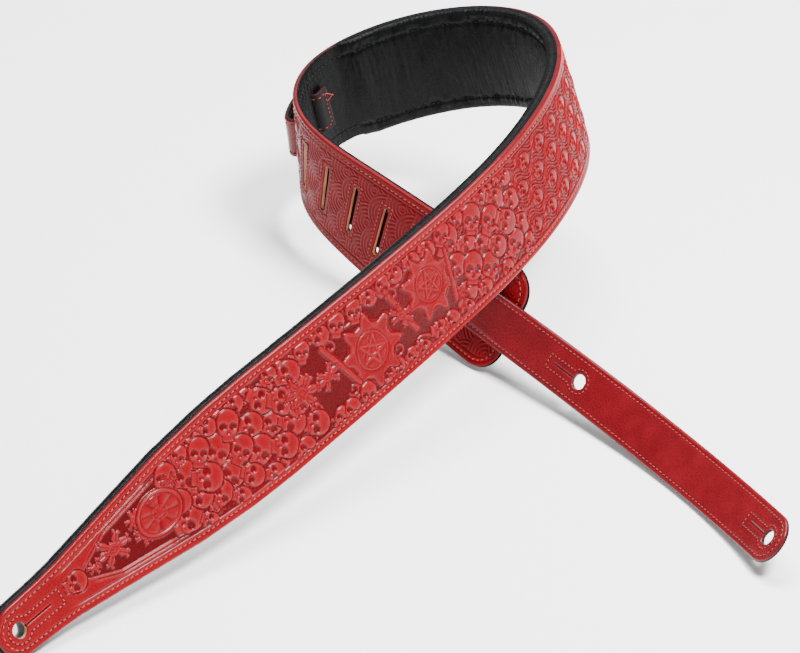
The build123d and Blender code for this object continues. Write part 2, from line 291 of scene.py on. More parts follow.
def sheet_piece(name, S, W, N, place, holes, cell, wall_n, mats, attrs=None, hole_mat=1, flip=False,
                hole_where=None, face_mat=None):
    """A grid of (s, w, n) with holes cut clean, and walls from its borders to wall_n.

    mats[0] is for the face, mats[1] for the outer wall and mats[hole_mat] for a hole's wall.
    face_mat(s) picks others along the face.
    """
    inside = np.zeros(S.shape, bool)
    rim = np.full(S.shape, -1)
    open_here = np.ones(S.shape, bool) if hole_where is None else hole_where
    for k, hole in enumerate(holes):
        near = (np.abs(S - hole[0]) < hole[3] + 3) & open_here
        d, hs, qw = hole_distance(S, W, hole)
        snap = near & (d > -cell) & (d < 0.4 * cell)
        length = np.maximum(np.hypot(S - hs, W - qw), 1e-6)
        S2 = hs + (S - hs) / length * hole[3]
        W2 = qw + (W - qw) / length * hole[3]
        S, W = np.where(snap, S2, S), np.where(snap, W2, W)
        rim = np.where(snap, k, rim)
        inside |= near & (d <= -cell)
    rows, cols = S.shape
    index = np.arange(rows * cols).reshape(rows, cols)
    quads = np.stack([index[:-1, :-1], index[1:, :-1], index[1:, 1:], index[:-1, 1:]], -1).reshape(-1, 4)
    if flip:
        quads = quads[:, ::-1]
    # drop the cells that lie in a hole
    s, w, n = S.ravel(), W.ravel(), N.ravel()
    flat_in, flat_rim = inside.ravel(), rim.ravel()
    bad = flat_in[quads].any(1)
    rims = (flat_rim[quads] >= 0).all(1)
    for hole in holes:
        d, _, _ = hole_distance(s[quads].mean(1), w[quads].mean(1), hole)
        bad |= rims & (d < -1e-3)
    quads = quads[~bad]
    # border edges are the ones only one cell has
    a = np.concatenate([quads[:, [0, 1]], quads[:, [1, 2]], quads[:, [2, 3]], quads[:, [3, 0]]])
    key = np.sort(a, 1)
    code = key[:, 0].astype(np.int64) * (rows * cols) + key[:, 1]
    _, first, count = np.unique(code, return_index=True, return_counts=True)
    border = a[first[count == 1]]
    ring = np.unique(border)
    is_hole = (flat_rim[border] >= 0).all(1)
    mats_i = face_mat(s[quads].mean(1)) if face_mat else np.zeros(len(quads), int)
    upper, total = np.arange(rows * cols), rows * cols
    points = [(s, w, n)]
    for share in (0.35, 1.0):
        lower = np.full(rows * cols, -1)
        lower[ring] = total + np.arange(len(ring))
        total += len(ring)
        points.append((s[ring], w[ring], n[ring] + (wall_n - n[ring]) * share))
        strip = np.stack([upper[border[:, 1]], upper[border[:, 0]],
                          lower[border[:, 0]], lower[border[:, 1]]], -1)
        quads = np.concatenate([quads, strip])
        mats_i = np.concatenate([mats_i, np.where(is_hole, hole_mat, 1)])
        upper = lower
    pick = np.concatenate([np.arange(len(s)), np.tile(ring, 2)])
    s, w, n = (np.concatenate(part) for part in zip(*points))
    used = np.zeros(len(s), bool)
    used[quads.ravel()] = True
    quads = (np.cumsum(used) - 1)[quads]
    s, w, n, pick = s[used], w[used], n[used], pick[used]
    attrs = {k: v.ravel()[pick] for k, v in (attrs or {}).items()}
    uv = np.stack([s, w], -1) / 100.0
    return make_mesh(name, place(s, w, n), quads, uv, attrs, mats, mats_i)


def octagon_tube(rings):
    """Quads of a closed tube through a number of eight-sided rings."""
    faces = [(r * 8 + k, r * 8 + (k + 1) % 8, r * 8 + 8 + (k + 1) % 8, r * 8 + 8 + k)
             for r in range(rings - 1) for k in range(8)]
    for quad in OCTAGON:
        faces += [quad[::-1], tuple((rings - 1) * 8 + q for q in quad)]
    return np.array(faces)


def capsule(length, width, height):
    """One stitch in its own (along, side, up) axes: humped, its ends sunk."""
    xs = np.array([-1, -0.86, -0.5, 0, 0.5, 0.86, 1.0])
    rad = np.array([0.25, 0.72, 1, 1, 1, 0.72, 0.25])
    rise = np.array([-1.0, -0.45, 0.15, 0.35, 0.15, -0.45, -1.0])
    ang = np.arange(8) * math.pi / 4
    pts = np.stack([
        np.repeat(xs * length / 2, 8),
        np.outer(rad, np.cos(ang)).ravel() * width / 2,
        np.outer(rad, np.sin(ang)).ravel() * height / 2 + np.repeat(rise * height * 0.5, 8),
    ], -1)
    return pts, octagon_tube(len(xs))


def resample(path, pitch, closed=False):
    """Even points along a polyline of (s, w), with their directions."""
    path = np.array(path, float)
    if closed:
        path = np.vstack([path, path[:1]])
    seg = np.linalg.norm(np.diff(path, axis=0), axis=1)
    run = np.concatenate([[0], np.cumsum(seg)])
    count = max(1, int(round(run[-1] / pitch)))
    at = (np.arange(count) + 0.5) * run[-1] / count

    def along(where):
        return np.stack([np.interp(where, run, path[:, k]) for k in (0, 1)], -1)

    ahead, back = along(np.minimum(at + 0.4, run[-1])), along(np.maximum(at - 0.4, 0))
    return along(at), unit(ahead - back)


def stitches(name, paths, place, n_face, mats, pitch=3.6, length=2.5, width=0.85, slant=8.0, under=False):
    """Separate stitches, with a flat dark disc of painted shade for the thread hole at each end, along several
    paths, as one piece.
    """
    height, lift, shade_disc_r = 0.75, 0.12, 0.52
    base, base_f = capsule(length, width, height)
    disc = np.arange(8) * math.pi / 4
    parts, total = [], 0
    rng = np.random.default_rng(3)
    for path, closed in paths:
        pts, dirs = resample(path, pitch, closed)
        count = len(pts)
        turn = np.radians(slant + rng.uniform(-5, 5, count))
        c, k = np.cos(turn), np.sin(turn)
        d = np.stack([dirs[:, 0] * c - dirs[:, 1] * k, dirs[:, 0] * k + dirs[:, 1] * c], -1)
        side = np.stack([-d[:, 1], d[:, 0]], -1)
        s, w = (pts[:, q, None] + base[None, :, 0] * d[:, q, None] + base[None, :, 1] * side[:, q, None]
                for q in (0, 1))
        n = np.broadcast_to(base[None, :, 2] + n_face + lift, s.shape)
        faces = (base_f[None] + (np.arange(count) * len(base))[:, None, None]).reshape(-1, 4)
        parts.append((s.ravel(), w.ravel(), n.ravel(), faces + total, np.zeros(len(faces), int)))
        total += s.size
        # a flat dark disc at each end: painted shade where the thread goes into its hole
        for end in (-1, 1):
            hs, hw = (pts[:, q] + end * d[:, q] * length * 0.53 for q in (0, 1))
            s = hs[:, None] + np.cos(disc)[None] * shade_disc_r
            w = hw[:, None] + np.sin(disc)[None] * shade_disc_r
            n = np.full(s.shape, n_face + 0.02)
            first = np.arange(count)[:, None] * 8
            faces = np.concatenate([first + np.array([quad]) for quad in OCTAGON])
            parts.append((s.ravel(), w.ravel(), n.ravel(), faces + total, np.ones(len(faces), int)))
            total += s.size
    s, w, n, faces, mats_i = (np.concatenate(part) for part in zip(*parts))
    if under:
        n, faces = -n, faces[:, ::-1]
    return make_mesh(name, place(s, w, n), faces, np.stack([s, w], -1) / 100, {}, mats, mats_i)


# ---------------------------------------- materials
def nodes_of(name):
    """A new material, its node tree and its shader."""
    m = bpy.data.materials.new(name)
    m.use_nodes = True
    t = m.node_tree
    return m, t, t.nodes["Principled BSDF"]


def add(t, kind, **values):
    node = t.nodes.new(kind)
    for key, v in values.items():
        setattr(node, key, v)
    return node


def coords(t, scale=(1, 1, 1)):
    """The strip's own (s, w), in units of 100 mm, scaled."""
    uv = add(t, "ShaderNodeUVMap", uv_map="strip")
    mp = add(t, "ShaderNodeMapping")
    mp.inputs["Scale"].default_value = scale
    t.links.new(uv.outputs["UV"], mp.inputs["Vector"])
    return mp.outputs["Vector"]


def ramp(t, source, stops):
    r = add(t, "ShaderNodeValToRGB")
    els = r.color_ramp.elements
    while len(els) < len(stops):
        els.new(0.5)
    for e, (pos, col) in zip(els, stops):
        e.position, e.color = pos, (*col, 1)
    t.links.new(source, r.inputs["Fac"])
    return r.outputs["Color"]


def noise(t, vec, scale, detail=3.0, rough=0.5):
    n = add(t, "ShaderNodeTexNoise")
    n.inputs["Scale"].default_value = scale
    n.inputs["Detail"].default_value = detail
    n.inputs["Roughness"].default_value = rough
    t.links.new(vec, n.inputs["Vector"])
    return n.outputs["Fac"]


def cells(t, vec, scale):
    v = add(t, "ShaderNodeTexVoronoi", feature="DISTANCE_TO_EDGE")
    v.inputs["Scale"].default_value = scale
    t.links.new(vec, v.inputs["Vector"])
    return v.outputs["Distance"]


def mix(t, fac, a, b):
    m = add(t, "ShaderNodeMix", data_type="RGBA")
    for socket, value in ((m.inputs[0], fac), (m.inputs[6], a), (m.inputs[7], b)):
        if isinstance(value, bpy.types.NodeSocket):
            t.links.new(value, socket)
        else:
            socket.default_value = value if isinstance(value, (int, float)) else (*value, 1)
    return m.outputs[2]


def vary(t, source, socket, low, high):
    """Drive a socket between two values."""
    node = add(t, "ShaderNodeMapRange")
    node.inputs["To Min"].default_value, node.inputs["To Max"].default_value = low, high
    t.links.new(source, node.inputs["Value"])
    t.links.new(node.outputs["Result"], socket)


def bump(t, p, heights):
    """Chain of (height, distance in metres, strength) bumps into the shader's normal."""
    last = None
    for height, distance, strength in heights:
        b = add(t, "ShaderNodeBump")
        b.inputs["Distance"].default_value = distance
        b.inputs["Strength"].default_value = strength
        t.links.new(height, b.inputs["Height"])
        if last:
            t.links.new(last, b.inputs["Normal"])
        last = b.outputs["Normal"]
    t.links.new(last, p.inputs["Normal"])


def attribute(t, name):
    return add(t, "ShaderNodeAttribute", attribute_name=name).outputs["Fac"]


def leather(name, light, dark, rough, grain, tooled=False, coat=0.0, shine=0.13):
    """Finished leather: mottled colour, pores, and on tooled work recesses darkened by pooled dye plus painted
    shade, and ridges lightened by worn finish plus painted highlight.
    """
    m, t, p = nodes_of(name)
    v = coords(t)
    mottled = noise(t, v, 7, 4, 0.6)
    fine = noise(t, v, 90, 3, 0.6)
    colour = ramp(t, mottled, [(0.3, dark), (0.7, light)])
    colour = mix(t, 0.22, colour, ramp(t, fine, [(0.3, dark), (0.7, light)]))
    if tooled:
        # painted shade: darkens the recesses and the slotted end, on top of the dye pooled in the recesses
        colour = mix(t, attribute(t, "tooled_dye_and_shade"), colour, TOOLED_DYE_AND_SHADE)
        # painted highlight: lightens the ridges, on top of the finish worn off them
        colour = mix(t, attribute(t, "wear_and_highlight"), colour, TOOLED_WEAR_AND_HIGHLIGHT)
    t.links.new(colour, p.inputs["Base Color"])
    vary(t, fine, p.inputs["Roughness"], rough - 0.07, rough + 0.09)
    pores = cells(t, v, 120)
    bump(t, p, [(pores, 0.00012, grain), (fine, 0.0003, grain * 0.6)])
    p.inputs["Specular IOR Level"].default_value = shine
    p.inputs["Coat Weight"].default_value = coat
    p.inputs["Coat Roughness"].default_value = 0.22
    return m


# dark: dye pooled in the recesses plus painted shade; light: finish worn off the ridges plus painted highlight
TOOLED_DYE_AND_SHADE = (0.056, 0.0008, 0.0018)
TOOLED_WEAR_AND_HIGHLIGHT = (0.30, 0.012, 0.018)
red_face = leather("red tooled leather", (0.165, 0.0010, 0.0042), (0.120, 0.0007, 0.0030),
                   0.27, 0.22, tooled=True, coat=0.05)
# copy of the red leather for the slotted end, with less shine; the shade attribute lays painted shade over it
red_slotted_shaded = leather("red tooled leather, slotted end", (0.215, 0.0014, 0.0048), (0.150, 0.0009, 0.0034),
                      0.34, 0.22, tooled=True, shine=0.07)
# a darker copy of the red leather for the wave lattice: painted shade, with less shine
red_waves_shaded = leather("red tooled leather, wave lattice", (0.140, 0.0008, 0.0034), (0.100, 0.0006, 0.0024),
                    0.30, 0.22, tooled=True, coat=0.01, shine=0.10)
red_tail = leather("red smooth leather", (0.130, 0.0042, 0.0075), (0.080, 0.0028, 0.0050),
                   0.27, 0.16, coat=0.12)
edge_paint = leather("painted leather edge", (0.10, 0.010, 0.012), (0.03, 0.006, 0.008), 0.45, 0.6)
tail_edge = leather("dark burnished edge", (0.035, 0.008, 0.008), (0.012, 0.006, 0.006), 0.4, 0.6)
raw_edge = leather("raw tan edge", (0.52, 0.27, 0.14), (0.36, 0.16, 0.08), 0.75, 0.8)


def suede_material():
    m, t, p = nodes_of("dark suede")
    v = coords(t)
    nap = noise(t, v, 160, 4, 0.7)
    colour = ramp(t, nap, [(0.25, (0.002, 0.0016, 0.0016)), (0.8, (0.012, 0.009, 0.009))])
    t.links.new(colour, p.inputs["Base Color"])
    p.inputs["Roughness"].default_value = 0.95
    p.inputs["Sheen Weight"].default_value = 0.06
    p.inputs["Sheen Roughness"].default_value = 0.5
    p.inputs["Specular IOR Level"].default_value = 0.15
    bump(t, p, [(nap, 0.0003, 0.8)])
    return m


def lining_material():
    m, t, p = nodes_of("black garment leather")
    v = coords(t)
    stretched = coords(t, (1.0, 0.13, 1.0))
    pebble = cells(t, v, 55)
    crease = noise(t, stretched, 38, 5, 0.62)
    fine = noise(t, v, 150, 2, 0.5)
    colour = ramp(t, crease, [(0.3, (0.0008, 0.00085, 0.001)), (0.75, (0.0034, 0.0036, 0.0040))])
    t.links.new(colour, p.inputs["Base Color"])
    vary(t, crease, p.inputs["Roughness"], 0.24, 0.44)
    p.inputs["Specular IOR Level"].default_value = 0.10
    bump(t, p, [(crease, 0.0016, 0.7), (pebble, 0.0006, 0.5), (fine, 0.00015, 0.3)])
    return m


def thread_material(name, light, dark):
    m, t, p = nodes_of(name)
    v = coords(t)
    ply = add(t, "ShaderNodeTexWave", bands_direction="DIAGONAL")
    ply.inputs["Scale"].default_value = 60
    ply.inputs["Distortion"].default_value = 0.4
    t.links.new(v, ply.inputs["Vector"])
    t.links.new(ramp(t, ply.outputs["Fac"], [(0.1, dark), (0.8, light)]), p.inputs["Base Color"])
    p.inputs["Roughness"].default_value = 0.6
    p.inputs["Sheen Weight"].default_value = 0.03
    p.inputs["Specular IOR Level"].default_value = 0.2
    bump(t, p, [(ply.outputs["Fac"], 0.00015, 0.6)])
    return m


suede = suede_material()
black_lining = lining_material()
red_thread = thread_material("red waxed thread", (0.40, 0.045, 0.038), (0.19, 0.010, 0.011))
tail_thread = thread_material("dark red thread", (0.33, 0.032, 0.030), (0.14, 0.006, 0.007))
black_thread = thread_material("black waxed thread", (0.006, 0.006, 0.007), (0.001, 0.001, 0.001))
# flat dark discs at the stitch ends: painted shade of the thread holes
awl_shade = leather("awl hole", (0.035, 0.004, 0.005), (0.02, 0.002, 0.003), 0.8, 0.1)
awl_shade_black = leather("awl hole in black", (0.002, 0.002, 0.002), (0.001, 0.001, 0.001), 0.8, 0.1)


# ---------------------------------------- the tooled face
def stamp(H, S, W, cs, cw, r, angle, draw):
    """Lay one motif over the height field. draw(x, y) gives (height, mask) on a unit motif."""
    i0, i1 = np.searchsorted(S[:, 0], [cs - 1.6 * r, cs + 1.6 * r])
    part = (slice(i0, i1), slice(None))
    x0, y0 = W[part] - cw, S[part] - cs
    c, k = math.cos(angle), math.sin(angle)
    x, y = (x0 * c + y0 * k) / r, (-x0 * k + y0 * c) / r
    height, mask = draw(x, y)
    H[part] = H[part] * (1 - mask) + height * mask


def dome(x, y, a, b):
    """Height of the upper half of an ellipsoid."""
    return np.sqrt(np.clip(1 - (x / a) ** 2 - (y / b) ** 2, 0, None))


def plain_skull(x, y):
    """A plain skull, facing out, crown towards +y."""
    crown = np.hypot(x / 0.94, (y - 0.24) / 0.96)
    cheek = np.hypot(x / 0.82, (y + 0.38) / 0.44)
    jaw = np.maximum(np.abs(x) / 0.50, np.abs(y + 0.88) / 0.36)
    out = np.minimum(np.minimum(crown, cheek), jaw)
    mask = soft(1.15 - out, 0.04)
    body = np.maximum(dome(x, y - 0.24, 0.98, 1.0), 0.78 * dome(x, y + 0.38, 0.86, 0.5))
    body = np.maximum(body, 0.62 * (1 - soft(jaw - 0.94, 0.08)))
    h = -0.35 + 1.05 * np.clip(body, 0, 1) ** 0.55
    for side in (-1, 1):
        eye = np.hypot((x - side * 0.42) / 0.34, (y + 0.08) / 0.30)
        h = h - 1.15 * soft(1 - eye, 0.20) + 0.20 * np.exp(-((eye - 1.16) / 0.14) ** 2)
        cheekbone = np.hypot((x - side * 0.62) / 0.16, (y + 0.46) / 0.13)
        h = h + 0.16 * np.exp(-cheekbone ** 2)
    nose = np.hypot(x / (0.14 + 0.18 * np.clip(-0.30 - y, 0, 0.4)), (y + 0.49) / 0.20)
    h = h - 0.85 * soft(1 - nose, 0.3)
    teeth = soft(0.46 - np.abs(x), 0.04) * soft(0.25 - np.abs(y + 0.86), 0.05)
    h = h - teeth * (0.20 * (0.5 + 0.5 * np.cos(x * 36)) + 0.30 * np.exp(-((y + 0.86) / 0.05) ** 2))
    h = h - 0.55 * np.exp(-((out - 1.07) / 0.06) ** 2)
    return h, mask


def star_ring(x, y):
    """A five-pointed star of lines inside a double ring."""
    r = np.hypot(x, y)
    h = np.full(x.shape, 0.05)
    for radius, width, rise in ((1.0, 0.045, -0.5), (0.93, 0.04, 0.35), (0.86, 0.03, -0.35)):
        h = h + rise * np.exp(-((r - radius) / width) ** 2)
    tips = [(0.80 * math.sin(k * 0.8 * math.pi), 0.80 * math.cos(k * 0.8 * math.pi)) for k in range(6)]
    line = np.full(x.shape, 9.0)
    for (ax, ay), (bx, by) in zip(tips, tips[1:]):
        t = np.clip(((x - ax) * (bx - ax) + (y - ay) * (by - ay)) / ((bx - ax) ** 2 + (by - ay) ** 2), 0, 1)
        line = np.minimum(line, np.hypot(x - ax - t * (bx - ax), y - ay - t * (by - ay)))
    h = h + 0.42 * np.exp(-(line / 0.045) ** 2) * (r < 0.88)
    h = h - 0.34 * np.exp(-((line - 0.10) / 0.04) ** 2) * (r < 0.80)
    return h, soft(1.07 - r, 0.02)


def plate(x, y):
    """A raised plate whose edge runs in hollows between pointed tips."""
    r, a = np.hypot(x, y), np.arctan2(y, x)
    reach = 0.72 + 0.30 * np.abs(np.cos(4 * a)) ** 5
    h = 0.05 + 0.22 * np.exp(-((reach - r - 0.05) / 0.05) ** 2)
    h = h - 0.75 * np.exp(-((r - reach - 0.03) / 0.035) ** 2)
    return h, soft(reach + 0.07 - r, 0.015)


def rosette(x, y):
    """A plain raised oval with a doubled rim round an eight-petalled flower."""
    r = np.hypot(x / 0.76, y)
    h = np.full(x.shape, 0.05)
    for radius, width, rise in ((1.0, 0.035, -0.6), (0.93, 0.04, 0.35), (0.83, 0.03, -0.4)):
        h = h + rise * np.exp(-((r - radius) / width) ** 2)
    a = np.arctan2(x / 0.76, y)
    petal = 0.5 + 0.5 * np.cos(8 * a)
    h = h + (r < 0.77) * (0.70 * np.sqrt(petal) * np.clip(r / 0.6, 0, 1) - 0.55)
    h = h + 0.55 * dome(x, y, 0.17, 0.22) + 0.25 * np.exp(-((r - 0.30) / 0.035) ** 2)
    return h, soft(1.06 - r, 0.02)


def sprig(x, y):
    """A small lozenge with pointed leaves and berries round it."""
    core = np.abs(x) / 0.27 + np.abs(y) / 0.42
    h = np.full(x.shape, -0.62)
    mask = soft(1.25 - core, 0.06)
    h = h + mask * (0.95 - 0.35 * np.exp(-((core - 0.62) / 0.12) ** 2))
    for turn, reach in ((0.0, 0.95), (0.8, 0.80), (-0.8, 0.80),
                        (math.pi, 0.95), (math.pi - 0.8, 0.80), (math.pi + 0.8, 0.80)):
        u = x * math.sin(turn) + y * math.cos(turn)
        v = x * math.cos(turn) - y * math.sin(turn)
        middle = (0.25 + reach) / 2
        leaf = 1 - ((u - middle) / ((reach - 0.25) / 2 + 0.04)) ** 2
        inside = soft(0.17 * leaf - np.abs(v), 0.03) * (u > 0.2)
        round_leaf = soft(0.22 * leaf - np.abs(v), 0.03) * (u > 0.2)
        berry = np.hypot(u - reach - 0.02, np.abs(v) - 0.13)
        h = np.maximum(h, -0.62 + inside * (0.85 - 0.45 * np.exp(-(v / 0.03) ** 2)))
        h = np.maximum(h, -0.62 + 0.75 * soft(0.075 - berry, 0.03))
        mask = np.maximum(mask, np.maximum(round_leaf, soft(0.12 - berry, 0.03)))
    return h, mask


def leaf_star(x, y):
    """A four-leaved diamond with a veined heart."""
    r, a = np.hypot(x, y), np.arctan2(y, x)
    petal = 0.42 + 0.50 * np.abs(np.cos(2 * a)) ** 2.5
    vein = np.exp(-((np.abs(np.sin(2 * a)) * r) / 0.06) ** 2)
    h = -0.45 + 0.8 * soft(petal - r, 0.06) - 0.30 * vein * (r < petal) + 0.3 * dome(x, y, 0.24, 0.24)
    h = h - 0.30 * np.exp(-((r - petal - 0.05) / 0.05) ** 2)
    return h, soft(petal + 0.10 - r, 0.03)


def crowd(H, S, W, zone, size, reach, seed):
    """Skulls of mixed sizes laid over each other along a zone of s, out to reach(s)."""
    rng = np.random.default_rng(seed)
    spots = []
    row = 0
    s, end = zone
    while s < end:
        w_max = float(reach(s))
        count = max(1, int(round(2 * w_max / (size * 1.9))))
        across = count + row % 2
        for k in range(across):
            w = (k + 0.5 - across / 2) * 2 * w_max / count
            spots.append((s + rng.uniform(-0.25, 0.25) * size, w + rng.uniform(-0.18, 0.18) * size))
        s += size * 1.55
        row += 1
    # small ones behind, then the large ones in a random order
    small = [(s + rng.uniform(-3, 3), w + rng.uniform(-3, 3)) for s, w in spots]
    for cs, cw in small:
        stamp(H, S, W, cs + 0.8 * size, min(max(cw + 0.6 * size, -reach(cs)), reach(cs)), size * 0.55,
              rng.uniform(-1.6, 1.6), plain_skull)
    for k in rng.permutation(len(spots)):
        cs, cw = spots[k]
        r = size * rng.uniform(0.86, 1.1)
        if abs(cw) > float(reach(cs)) - 0.2 * r:
            r *= 0.72
        stamp(H, S, W, cs, cw, r, rng.uniform(-1.1, 1.1), plain_skull)


def raised_bar(H, S, W, start, end, half):
    """A straight raised strip with a groove along each side."""
    (s0, w0), (s1, w1) = start, end
    t = np.clip(((S - s0) * (s1 - s0) + (W - w0) * (w1 - w0)) / ((s1 - s0) ** 2 + (w1 - w0) ** 2), 0, 1)
    d = np.hypot(S - s0 - t * (s1 - s0), W - w0 - t * (w1 - w0))
    mask = soft(half + 0.9 - d, 0.3)
    H[:] = H * (1 - mask) + mask * (0.1 - 0.75 * np.exp(-((d - half - 0.3) / 0.45) ** 2))


def curl(H, S, W, cs, cw, r, side):
    """A raised scroll end: a spiral ridge."""
    def draw(x, y):
        rr, a = np.hypot(x, y), np.arctan2(side * x, y)
        turn = rr - 0.28 - 0.11 * (a + math.pi)
        ridge = np.exp(-(turn / 0.12) ** 2) * (rr < 1.05)
        return -0.62 + 0.8 * ridge, soft(ridge - 0.25, 0.1)
    stamp(H, S, W, cs, cw, r, 0.0, draw)


def tooled_height(S, W):
    """Height of the tooled face in mm, 0 at the untouched leather."""
    hw = body_hw(S)
    edge = hw - np.abs(W)
    H = np.zeros(S.shape)
    field = soft(edge - 6.9, 0.35)
    seeds = 0.20 * value_noise(S / 1.3, W / 1.3, 11) + 0.14 * value_noise(S / 0.9, W / 0.9, 12)
    main = soft(S - 112, 2.0) * soft(ARCS_FROM - 2 - S, 1.0)
    H = H + field * main * (-0.55 + seeds)
    # smooth sunk panels: the kite behind the nose and the panel round the medallions
    kite_half = np.minimum((S - 47) * 0.42, hw - 10.8)
    kite = soft(kite_half - np.abs(W), 0.4) * soft(S - KITE[0], 1) * soft(KITE[1] - S, 1)
    scroll = 21.5 + 2.6 * np.cos((S - 250) / 7.5) + 1.3 * np.cos((S - 250) / 3.3)
    panel = soft(scroll - np.abs(W + 1.5), 0.4) * soft(S - PANEL[0], 1) * soft(PANEL[1] - S, 1)
    smooth = np.maximum(kite, panel)
    H = H * (1 - smooth) + smooth * -0.72
    for off, rise in ((0.9, 0.32), (2.0, -0.55), (3.0, 0.22)):
        line = np.exp(-((np.abs(W) - kite_half - off) / 0.42) ** 2)
        H = H + rise * line * soft(S - KITE[0] - 7, 4) * soft(KITE[1] - 4 - S, 3)
    rim = np.exp(-((np.abs(W + 1.5) - scroll - 0.6) / 0.6) ** 2)
    H = H + 0.9 * rim * soft(S - PANEL[0] - 2, 2) * soft(PANEL[1] - 2 - S, 2)

    def reach(s):
        return float(body_hw(s)) - 9.5

    crowd(H, S, W, NOSE_CROWD, 8.3, reach, 21)
    crowd(H, S, W, MIDDLE_CROWD, 7.8, reach, 22)
    # skulls peeping in along both sides of the medallion panel
    rng = np.random.default_rng(5)
    for s in np.arange(PANEL[0] + 7, PANEL[1] - 6, 13.0):
        for side in (-1, 1):
            stamp(H, S, W, s + rng.uniform(-3, 3), side * rng.uniform(23.5, 26) - 1.0, rng.uniform(5.2, 6.6),
                  rng.uniform(-1.2, 1.2), plain_skull)
    for cs, cw, size, turn in ((287, -5, 23.0, 0.2), (343, 4, 21.0, 0.5)):
        stamp(H, S, W, cs, cw, size, turn, plate)
    for bar in (((256, 17), (270, -16)), ((312, 20), (322, -14)), ((364, 15), (358, -17))):
        raised_bar(H, S, W, bar[0], bar[1], 1.5)
    for spot in ((262, 14, 5.0, 1), (304, -16, 5.0, -1), (316, 15, 5.0, 1),
                 (362, -15, 4.5, -1), (264, -17, 4.5, -1)):
        curl(H, S, W, *spot)
    for cs, cw, size, turn in ((287, -5, 12.3, 0.15), (343, 4, 11.0, -0.25)):
        stamp(H, S, W, cs, cw, size, turn, star_ring)
    for cs, cw, size, turn in ((231, 3, 13.0, 0.3), (252, 0, 9.5, -0.2), (316, 0, 9.0, 0.8), (76, 1.5, 12.5, 0.0),
                               (97, -4, 6.5, 0.9), (96, 8, 6.0, -0.7), (128, 13, 6.0, 0.3), (60, 0, 5.0, 0.4)):
        stamp(H, S, W, cs, cw, size, turn, sprig)
    stamp(H, S, W, 113, 1.0, 17.0, 0.0, rosette)
    stamp(H, S, W, 45, 0.6, 6.6, 0.15, plain_skull)
    # lattice of doubled waves with a small skull in each round cell
    zone = soft(S - WAVES_FROM, 1.5) * soft(ARCS_FROM - S, 1.5)
    pitch, wave_len, swing = 13.2, 21.0, 2.9
    lattice = np.zeros(S.shape)
    for k in range(-3, 4):
        sign = 1 if k % 2 else -1
        d = np.abs(W - k * pitch - sign * swing * np.cos(2 * math.pi * S / wave_len))
        lattice = lattice + 0.62 * np.exp(-((d - 1.15) / 0.50) ** 2) - 0.50 * np.exp(-(d / 0.42) ** 2)
        lattice = lattice - 0.40 * np.exp(-((d - 2.25) / 0.45) ** 2)
    ground = -0.20 + 0.14 * value_noise(S / 1.2, W / 1.2, 15)
    inside = field * zone
    H = H * (1 - inside) + (ground + lattice) * inside
    for k in range(-3, 3):
        # neighbouring rows of round cells are half a wave apart
        first = wave_len * (20.5 if k % 2 else 21)
        for s in np.arange(first, ARCS_FROM - 4, wave_len):
            w = (k + 0.5) * pitch
            if s > WAVES_FROM + 2 and abs(w) < 28:
                stamp(H, S, W, s, w, 4.9, 0.3 * math.sin(3 * s + w), plain_skull)
                stamp(H, S, W, s + wave_len / 2, w, 2.5, 0.785, leaf_star)
    # overlapping scales of concentric arcs over the slotted end
    arcs = np.zeros(S.shape)
    done = np.zeros(S.shape, bool)
    for row, s in enumerate(np.arange(BODY_END + 16, ARCS_FROM - 12, -12.0)):
        for w in np.arange(-48, 49, 24.0) + (12.0 if row % 2 else 0.0):
            r = np.hypot(S - s, W - w)
            hit = (r < 14.5) & ~done
            arcs = np.where(hit, 0.24 * np.cos(r * 2 * math.pi / 2.6), arcs)
            done |= hit
    zone = soft(S - ARCS_FROM, 1.5) * field
    H = H * (1 - zone) + (arcs - 0.14) * zone
    for c in SLOTS:
        near = np.maximum(np.abs(S - c) - SLOT_BOX[0], np.abs(W) - SLOT_BOX[1]) - 1.2
        flat = soft(-near, 0.7)
        H = H * (1 - flat) - 0.22 * flat
    # border: stitch groove, then a tooled line
    H = H * soft(edge - 6.3, 0.4)
    H = H - 0.30 * np.exp(-((edge - 3.8) / 0.8) ** 2)
    H = H - 0.55 * np.exp(-((edge - 6.5) / 0.42) ** 2) * soft(S - 40, 8)
    # the keyhole and its slit
    key = keyhole_distance(S, W, NOSE_KEYHOLE)
    H = H * soft(key - 1.2, 1.0) - 0.25 * np.exp(-(key / 0.7) ** 2)
    H = H - 1.5 * np.exp(-(W / 0.40) ** 2) * soft(S - 3, 1) * soft(25 - S, 1)
    H = H + 0.03 * value_noise(S / 0.9, W / 0.9, 31) + 0.14 * value_noise(S / 26, W / 26, 32)
    return H


def keyhole_distance(ahead, w, keyhole):
    """Distance outside a keyhole whose ring is at 0 and whose lobe lies ahead."""
    ring, half, reach = keyhole
    lobe = np.maximum(np.abs(ahead - reach / 2) - reach / 2, np.abs(w) - half)
    return np.minimum(np.hypot(ahead, w) - ring, lobe)


def edge_round(d, r):
    """Drop of a rounded arris at distance d inside an edge."""
    x = np.clip(1 - d / r, 0, 1)
    return r * (1 - np.sqrt(np.clip(1 - x * x, 0, 1)))


def blurred(H, k):
    """H averaged twice over k cells to each side."""
    out = H.copy()
    for axis in (0, 1):
        for _ in range(2):
            acc = np.zeros_like(out)
            for d in range(-k, k + 1):
                acc += np.roll(out, d, axis)
            out = acc / (2 * k + 1)
    return out


rows = rows_between(-NOSE_R, BODY_END, FACE_CELL, NOSE_R, HEEL_R)
cols = np.linspace(-1, 1, int(2 * BODY_HW / FACE_CELL) | 1)
S = np.repeat(rows[:, None], len(cols), 1)
face_hw = body_hw(S)
W = cols[None] * face_hw
body_holes = [(0.0, 0.0, 0.0, HOLE_R)] + [(c, 0.0, SLOT_HALF - SLOT_R, SLOT_R) for c in SLOTS]
H = tooled_height(S, W)
